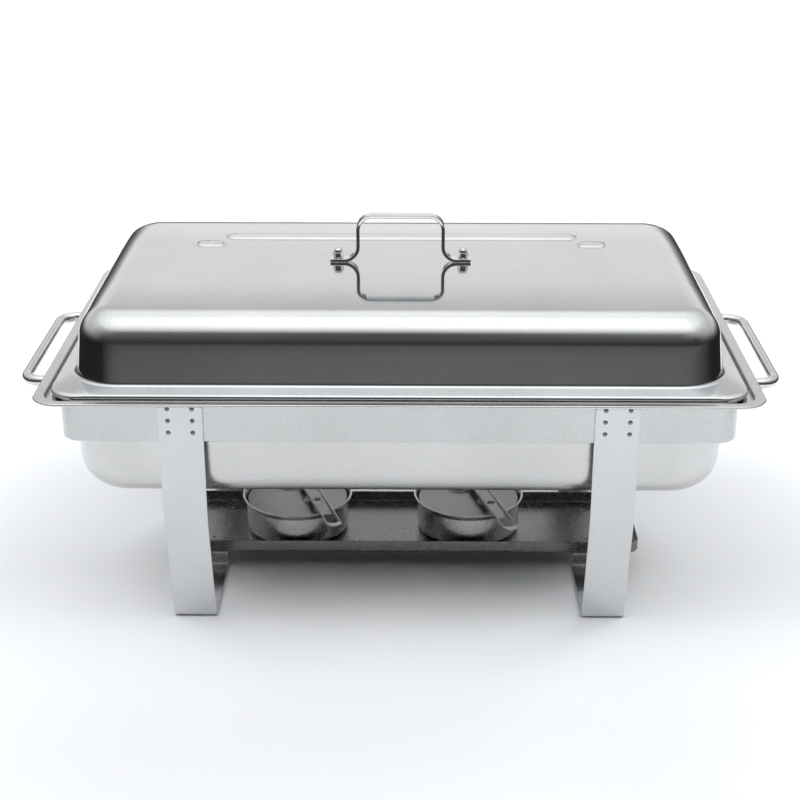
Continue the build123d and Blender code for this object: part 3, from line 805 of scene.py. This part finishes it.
def build_side_handle(side, facing):
    low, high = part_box(f"side_handle_{side}")
    pads_low, pads_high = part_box(f"handle_pads_{side}")
    reach = max(abs(low.x), abs(high.x)) - ROD_RADIUS
    root = min(abs(low.x), abs(high.x))
    half_span = high.y - ROD_RADIUS
    rod_z = (low.z + high.z) / 2
    line = [(facing * root, -half_span), (facing * reach, -half_span)]
    line += [(facing * reach, half_span), (facing * root, half_span)]
    path = fillet_path(line, [ROD_BEND, ROD_BEND], steps=14)
    rod = bmesh.new()
    add_loft(rod, tube_rings(path, ROD_RADIUS, rod_z, 28))
    for y in (-half_span, half_span):
        weld = []
        for step in range(6):
            angle = math.radians(18 * step)
            weld.append((ROD_RADIUS + WELD * (1 - math.sin(angle)), WELD * (1 - math.cos(angle))))
        add_loft(rod, turned_rings(weld, (facing * root, y, rod_z), (facing, 0, 0), 28))
    make_piece(f"side_handle_rod_{side}", rod, ROD_CHROME, "frame", [f"side_handle_{side}"])

    pad_z = (pads_low.z + pads_high.z) / 2
    pad_half = (PAD_WIDTH / 2, (pads_high.z - pads_low.z) / 2)
    band_x = facing * (root - PAD_THICK)
    pads, rivets = bmesh.new(), bmesh.new()
    for y in (-half_span, half_span):
        rings = []
        for inset, rise in ((0, 0), (0, 1.0), (0.15, 1.35), (0.5, 1.5)):
            half_y, half_z = pad_half[0] - inset * MM, pad_half[1] - inset * MM
            ring = rounded_ring(half_y, half_z, PAD_CORNER, 0, (y, pad_z), 6, (3, 3))
            rings.append([Vector((band_x + facing * rise * MM, p.x, p.y)) for p in ring])
        add_loft(pads, rings)
        for along in (-0.5, 0.5):
            place = (band_x + facing * PAD_THICK, y + along * PAD_RIVET_PITCH, pad_z)
            add_loft(rivets, turned_rings(rivet_profile(), place, (facing, 0, 0), 20))
            inner = (band_x - facing * SHEET, y + along * PAD_RIVET_PITCH, pad_z)
            add_loft(rivets, turned_rings(rivet_profile(), inner, (-facing, 0, 0), 20))
    make_piece(f"handle_pad_pair_{side}", pads, BAND_STEEL, "frame", [f"handle_pads_{side}"])
    node = f"handle_rivets_{side}"
    make_piece(f"handle_rivet_heads_{side}", rivets, RIVET_SHADED_STEEL, "frame", [node])


# ------------------------------------------------------------------ fuel tray

TRAY_LOW, TRAY_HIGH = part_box("fuel_tray")
TRAY_CORNER = 8 * MM
TRAY_RIVET_Y = 29 * MM
TRAY_RIVETS_X = (156 * MM, 167 * MM, 178 * MM)
TRAY_RIVET_HEIGHT = 0.8 * MM
TRAY_BEND = 1.8 * MM
TRAY_STEP = 10 * MM


def build_tray():
    half = ((TRAY_HIGH.x - TRAY_LOW.x) / 2, (TRAY_HIGH.y - TRAY_LOW.y) / 2)
    centre = ((TRAY_HIGH.x + TRAY_LOW.x) / 2, (TRAY_HIGH.y + TRAY_LOW.y) / 2)
    half_sheet = SHEET / 2
    corners = [
        (half_sheet, TRAY_HIGH.z - half_sheet),
        (half_sheet, TRAY_LOW.z + half_sheet),
        (half[1] - MIDDLE_GAP, TRAY_LOW.z + half_sheet),
    ]
    path = refine(fillet_path(corners, [TRAY_BEND], steps=8), lambda point: TRAY_STEP)

    def ring(inset, z):
        return rounded_ring(half[0] - inset, half[1] - inset, TRAY_CORNER - inset, z, centre, 8, (40, 12))

    bm = bmesh.new()
    add_loft(bm, sheet_rings(path, SHEET, ring))
    make_piece("tray", bm, TRAY_SHADED_STEEL, "frame", ["fuel_tray"])

    rivets = bmesh.new()
    for side in (-1, 1):
        for x in TRAY_RIVETS_X:
            for y in (-TRAY_RIVET_Y, TRAY_RIVET_Y):
                head = rivet_profile(TRAY_RIVET_HEIGHT)
                above = (side * x, y, BRIDGE_Z + SHEET)
                add_loft(rivets, turned_rings(head, above, (0, 0, 1), 20))
                below = (side * x, y, BRIDGE_Z - STRAP)
                add_loft(rivets, turned_rings(head, below, (0, 0, -1), 20))
    make_piece("tray_rivet_heads", rivets, RIVET_SHADED_STEEL, "frame", ["tray_rivets"])


# ------------------------------------------------------------------ fuel cups

CUP_SHEET = 0.8 * MM
CUP_BODY_RADIUS = 45.5 * MM
CUP_STEP = 8 * MM
PIVOT_TO_CENTRE = 40 * MM
FLAME_HOLE = (-10 * MM, 24 * MM, 11 * MM)
COVER_BEVEL = 0.25 * MM
WICK_RADIUS = 7.4 * MM
WICK_PLAY = 0.3 * MM
ARM_WIDTH = 13.5 * MM
ARM_TIP = 124 * MM
ARM_HOLE = 63 * MM
ARM_HOLE_RADIUS = 3.5 * MM
ARM_PIVOT_RADIUS = 2.55 * MM
ARM_BEVEL = 0.22 * MM
ARM_SLOT = (94 * MM, 117 * MM)
ARM_SLOT_HALF = 4.8 * MM
ARM_BEND = 93 * MM
ARM_TIP_RISE = 3.8 * MM
ARM_ANGLES = {"left": 18.2, "right": 15.5}


def arc_points(centre, radius, start, end, steps):
    turns = (math.radians(start + (end - start) * step / steps) for step in range(steps + 1))
    return [(centre[0] + radius * math.cos(a), centre[1] + radius * math.sin(a)) for a in turns]


def build_cup(side):
    low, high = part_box(f"fuel_cup_{side}")
    centre = ((low.x + high.x) / 2, (low.y + high.y) / 2)
    rim_radius = (high.x - low.x) / 2
    half_sheet = SHEET / 2
    corners = [
        (rim_radius - 0.9 * MM, high.z - 2.0 * MM),
        (rim_radius - 0.35 * MM, high.z - 0.9 * MM),
        (rim_radius - 1.2 * MM, high.z - 0.35 * MM),
        (CUP_BODY_RADIUS + 0.3 * MM, high.z - 6.0 * MM),
        (CUP_BODY_RADIUS - 0.6 * MM, low.z + half_sheet),
        (MIDDLE_GAP, low.z + half_sheet),
    ]
    path = fillet_path(corners, [0.5 * MM, 0.5 * MM, 4 * MM, 4.5 * MM], steps=8)
    path = refine(path, lambda point: CUP_STEP)
    bm = bmesh.new()
    add_loft(bm, sheet_rings(path, CUP_SHEET, lambda radius, z: circle_ring(centre, radius, z)))
    make_piece(f"cup_{side}", bm, CUP_STEEL, f"fuel_cup_{side}", [f"fuel_cup_{side}"])
    return centre


def build_cup_cover(side, centre, wick_at, pivot_at):
    low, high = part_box(f"cup_cover_{side}")
    cover_radius = (high.x - low.x) / 2
    flame_x, flame_y, flame_radius = FLAME_HOLE
    flame_at = (pivot_at[0] + flame_x, pivot_at[1] - PIVOT_TO_CENTRE + flame_y)

    def loops(inset):
        outline = arc_points(centre, cover_radius - inset, 0, 357, 84)
        flame = arc_points(flame_at, flame_radius + inset, 0, 354, 59)
        wick = arc_points(wick_at, WICK_RADIUS + WICK_PLAY + inset, 0, 350, 35)
        return [outline, flame, wick]

    bm = bmesh.new()
    add_punched(bm, loops, SHEET, COVER_BEVEL, lambda x, y, z: Vector((x, y, low.z + z)))
    collar = ((0, 0.0), (0, 0.8), (0.35, 1.2), (0.85, 1.2), (1.2, 0.8), (1.6, 0.0))
    collar_z = low.z + 0.95 * MM
    rings = []
    for out, rise in collar:
        rings.append(circle_ring(flame_at, flame_radius + out * MM, collar_z + rise * MM, 60))
    add_loft(bm, rings, closed=True)
    make_piece(f"cover_{side}", bm, COVER_SHADED_STEEL, f"fuel_cup_{side}", [f"cup_cover_{side}"])


def build_wick(side, wick_at):
    low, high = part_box(f"wick_{side}")
    profile = [(WICK_RADIUS * 0.97, 0)]
    top = high.z - low.z
    for step in range(16):
        radius = WICK_RADIUS * (1 - 0.02 * math.sin(step * 2.1))
        profile.append((radius, top * (0.04 + 0.86 * step / 15)))
    profile += [(WICK_RADIUS * 0.9, top - 0.9 * MM), (WICK_RADIUS * 0.72, top - 0.25 * MM)]
    profile.append((WICK_RADIUS * 0.4, top))
    bm = bmesh.new()
    add_loft(bm, turned_rings(profile, (wick_at[0], wick_at[1], low.z), (0, 0, 1), 40))
    make_piece(f"wick_roll_{side}", bm, WICK_FIBRE, f"fuel_cup_{side}", [f"wick_{side}"])


def build_pivot(side, pivot_at):
    low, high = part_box(f"damper_pivot_{side}")
    top = (high.z - low.z) / MM
    stud = [(3.3, 0), (3.5, 0.3), (3.5, 1.15), (2.0, 1.2), (2.0, 2.2), (4.0, 2.25), (4.0, top - 2.45)]
    stud += [(2.5, top - 2.4), (2.5, top - 1.2), (4.3, top - 1.15), (4.3, top - 0.7)]
    stud += [(3.9, top - 0.3), (3.0, top - 0.05), (1.5, top)]
    bm = bmesh.new()
    profile = [(radius * MM, rise * MM) for radius, rise in stud]
    add_loft(bm, turned_rings(profile, (pivot_at[0], pivot_at[1], low.z), (0, 0, 1), 32))
    node = f"damper_pivot_{side}"
    make_piece(f"pivot_stud_{side}", bm, HARDWARE, f"fuel_cup_{side}", [node])


def build_arm(side, pivot_at):
    low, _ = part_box(f"damper_arm_{side}")
    heading = math.radians(ARM_ANGLES[side] - 90)
    cos, sin = math.cos(heading), math.sin(heading)
    half = ARM_WIDTH / 2

    def loops(inset):
        outline = arc_points((ARM_TIP - half, 0), half - inset, -90, 90, 16)
        outline += [(ARM_BEND + 1 * MM, half - inset), (ARM_BEND, half - inset)]
        outline += arc_points((0, 0), half - inset, 90, 270, 16)
        outline += [(ARM_BEND, inset - half), (ARM_BEND + 1 * MM, inset - half)]
        hole = arc_points((ARM_HOLE, 0), ARM_HOLE_RADIUS + inset, 0, 345, 23)
        pivot = arc_points((0, 0), ARM_PIVOT_RADIUS + inset, 0, 345, 23)
        reach = ARM_SLOT_HALF + inset
        slot = arc_points((ARM_SLOT[1] - ARM_SLOT_HALF, 0), reach, -90, 90, 16)
        slot += [(ARM_SLOT[0] - inset, reach), (ARM_SLOT[0] - inset, -reach)]
        return [outline, pivot, hole, slot]

    def place(x, y, z):
        rise = max(0.0, x - ARM_BEND) * ARM_TIP_RISE / (ARM_TIP - ARM_BEND)
        turned_x, turned_y = x * cos - y * sin, x * sin + y * cos
        return Vector((pivot_at[0] + turned_x, pivot_at[1] + turned_y, low.z + z + rise))

    bm = bmesh.new()
    add_punched(bm, loops, SHEET, ARM_BEVEL, place)
    make_piece(f"damper_{side}", bm, ARM_SHADED_STEEL, f"damper_{side}", [f"damper_arm_{side}"])


def build_cups():
    for side in ("left", "right"):
        pivot_low, pivot_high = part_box(f"damper_pivot_{side}")
        pivot_at = ((pivot_low.x + pivot_high.x) / 2, (pivot_low.y + pivot_high.y) / 2)
        wick_low, wick_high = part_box(f"wick_{side}")
        wick_at = ((wick_low.x + wick_high.x) / 2, (wick_low.y + wick_high.y) / 2)
        centre = build_cup(side)
        build_cup_cover(side, centre, wick_at, pivot_at)
        build_wick(side, wick_at)
        build_pivot(side, pivot_at)
        build_arm(side, pivot_at)


# ------------------------------------------------------------------ studio

# Left, right, front and rear edges in metres. The steel reflects the table and not the far floor.
TABLE = (-0.8, 0.8, -1.25, 1.2)
TABLE_Z = -0.2 * MM
FAR_FLOOR = (-60.0, 60.0, -60.0, 60.0)
FAR_FLOOR_Z = -1 * MM
BACKDROP_REACH = 58.0
BACKDROP_HEIGHTS = (-0.5, 80.0)
BACKDROP_SIDES = 64


def add_stage(name, points, faces, material):
    """A mesh of the studio, which belongs to no body."""
    mesh = bpy.data.meshes.new(name)
    mesh.from_pydata(points, [], faces)
    mesh.materials.append(material)
    piece = bpy.data.objects.new(name, mesh)
    bpy.context.scene.collection.objects.link(piece)
    return piece


def build_floor():
    """A pale table, and the same floor running on past its edges where no reflection sees it."""
    material, nodes, shader, coords = start_material("pale_floor")
    clouds = nodes.ramp(nodes.noise(coords, (2, 2, 2), detail=4.0), (0.3, 0.0), (0.7, 1.0))
    fine = nodes.noise(coords, (400, 400, 400), detail=3.0)
    tone = nodes.blend(clouds, (0.864, 0.882, 0.902), (0.874, 0.892, 0.912))
    nodes.join(tone, shader.inputs["Base Color"])
    nodes.join(nodes.ramp(fine, (0.0, 0.72), (1.0, 0.88)), shader.inputs["Roughness"])
    shader.inputs["Specular IOR Level"].default_value = 0.1
    floors = (("table", TABLE, TABLE_Z, True), ("far_floor", FAR_FLOOR, FAR_FLOOR_Z, False))
    for name, (left, right, front, rear), z, reflected in floors:
        points = [(left, front, z), (right, front, z), (right, rear, z), (left, rear, z)]
        piece = add_stage(name, points, [(0, 1, 2, 3)], material)
        piece.visible_glossy = reflected
        piece.visible_diffuse = reflected


def build_backdrop():
    """A far pale wall all round, seen by the camera alone."""
    material, nodes, shader, coords = start_material("pale_backdrop")
    clouds = nodes.ramp(nodes.noise(coords, (0.02, 0.02, 0.02), detail=2.0), (0.3, 0.0), (0.7, 1.0))
    tone = nodes.blend(clouds, (0.95, 0.955, 0.96), (0.97, 0.975, 0.98))
    nodes.join(tone, shader.inputs["Emission Color"])
    shader.inputs["Emission Strength"].default_value = 1.0
    shader.inputs["Base Color"].default_value = (0, 0, 0, 1)
    points, faces = [], []
    for i in range(BACKDROP_SIDES):
        angle = 2 * math.pi * i / BACKDROP_SIDES
        x, y = BACKDROP_REACH * math.cos(angle), BACKDROP_REACH * math.sin(angle)
        points += [(x, y, z) for z in BACKDROP_HEIGHTS]
        following = 2 * ((i + 1) % BACKDROP_SIDES)
        faces.append((2 * i, following, following + 1, 2 * i + 1))
    wall = add_stage("backdrop", points, faces, material)
    wall.visible_glossy = False
    wall.visible_diffuse = False
    wall.visible_shadow = False


# A row for each heading; its levels stand at the heights of WORLD_Z, from straight down to straight up.
WORLD_Z = (-1.0, -0.25, -0.08, 0.0, 0.10, 0.20, 0.28, 0.34, 0.42, 0.52, 0.66, 0.80, 0.93, 1.0)
WORLD_LEVELS = (
    (0.04, 0.02, 0.02, 0.05, 0.12, 0.28, 0.40, 0.50, 0.60, 0.70, 0.85, 1.20, 1.40, 1.67),
    (0.07, 0.03, 0.02, 0.02, 0.04, 0.06, 0.08, 0.10, 0.15, 0.25, 0.45, 1.08, 1.43, 1.67),
    (0.12, 0.25, 0.15, 0.08, 0.05, 0.06, 0.09, 0.08, 0.10, 0.09, 0.12, 0.85, 1.64, 1.67),
    (0.08, 0.07, 0.12, 0.04, 0.04, 0.06, 0.08, 0.10, 0.19, 0.35, 0.60, 1.25, 1.61, 1.67),
    (0.04, 0.02, 0.02, 0.05, 0.12, 0.28, 0.40, 0.50, 0.60, 0.70, 0.85, 1.21, 1.43, 1.67),
    (0.03, 0.02, 0.03, 0.12, 0.35, 0.78, 0.85, 0.84, 0.78, 0.74, 0.95, 1.15, 1.30, 1.67),
    (0.03, 0.03, 0.12, 0.20, 0.45, 1.07, 0.97, 0.89, 0.66, 0.66, 1.15, 1.35, 1.30, 1.67),
    (0.03, 0.02, 0.06, 0.10, 0.35, 0.78, 0.87, 0.86, 0.80, 0.76, 0.95, 1.15, 1.30, 1.67),
)


def build_world():
    """What the steel reflects: levels by height, at eight headings from the left by way of the front."""
    world = bpy.data.worlds.new("studio")
    bpy.context.scene.world = world
    world.use_nodes = True
    world.cycles_visibility.diffuse = False
    nodes = Nodes(world.node_tree)
    background = world.node_tree.nodes["Background"]
    split = nodes.add("ShaderNodeSeparateXYZ")
    nodes.join(nodes.add("ShaderNodeTexCoord").outputs["Generated"], split.inputs[0])
    height = nodes.math("ADD", nodes.math("MULTIPLY", split.outputs["Z"], 0.5), 0.5)
    turn = nodes.math("ARCTAN2", split.outputs["Y"], split.outputs["X"])
    heading = nodes.math("ADD", nodes.math("MULTIPLY", turn, 0.5 / math.pi), 0.5)
    total = None
    step = 1 / len(WORLD_LEVELS)
    for number, column in enumerate(WORLD_LEVELS):
        middle = number * step
        stops = [(max(0.0, middle - step), 0.0), (middle, 1.0), (middle + step, 0.0)]
        if number == 0:
            stops = [(0.0, 1.0), (step, 0.0), (1 - step, 0.0), (1.0, 1.0)]
        share = nodes.ramp(heading, *stops)
        tint = nodes.ramp(height, *[(z * 0.5 + 0.5, level) for z, level in zip(WORLD_Z, column)])
        part = nodes.math("MULTIPLY", share, tint)
        total = part if total is None else nodes.math("ADD", total, part)
    nodes.join(total, background.inputs["Color"])
    background.inputs["Strength"].default_value = 1.0


# Name, tilt from overhead, heading, spread, strength; angles in degrees.
SUN_LEVEL = 0.965
SUNS = (
    ("key", 16, -90, 40, 0.63),
    ("overhead", 0, 0, 60, 0.20),
    ("left", 35, 180, 36, 0.83),
    ("left_front", 35, -150, 36, 0.52),
    ("right_front", 35, -34, 36, 0.60),
    ("right", 35, 0, 36, 0.66),
    ("behind", 55, 90, 36, 0.45),
    ("behind_left", 62, 140, 36, 0.58),
    ("behind_low", 70, 90, 36, 0.82),
    ("behind_right", 70, 40, 36, 1.15),
)


def build_suns():
    """Soft even light for the floor; the steel does not reflect these lamps."""
    for name, tilt, heading, spread, strength in SUNS:
        data = bpy.data.lights.new(name, "SUN")
        data.angle = math.radians(spread)
        data.energy = SUN_LEVEL * strength
        lamp = bpy.data.objects.new(name, data)
        lamp.rotation_euler = (math.radians(tilt), 0, math.radians(heading + 90))
        lamp.visible_glossy = False
        bpy.context.scene.collection.objects.link(lamp)


# Metres, degrees below level, degrees round, then millimetres of lens and sensor.
CAMERA_PLACE = (0.0118, -1.281, 0.6763)
CAMERA_DOWN = 22.77
CAMERA_TURN = 0.55
CAMERA_LENS = 70.7
CAMERA_SENSOR = 36


def build_camera():
    data = bpy.data.cameras.new("camera")
    data.sensor_width = CAMERA_SENSOR
    data.lens = CAMERA_LENS
    camera = bpy.data.objects.new("camera", data)
    camera.location = CAMERA_PLACE
    camera.rotation_euler = (math.radians(90 - CAMERA_DOWN), 0, math.radians(CAMERA_TURN))
    bpy.context.scene.collection.objects.link(camera)
    bpy.context.scene.camera = camera


build_lid()
build_lid_handle()
build_handle_fixings()
build_pans()
build_band()
for side, facing in (("left", -1), ("right", 1)):
    build_leg(side)
    build_side_handle(side, facing)
    for end in ("front", "rear"):
        build_leg_plate(end, side)
build_leg_rivets()
build_tray()
build_cups()
build_floor()
build_backdrop()
build_world()
build_suns()
build_camera()
bpy.context.scene.view_settings.view_transform = "Standard"
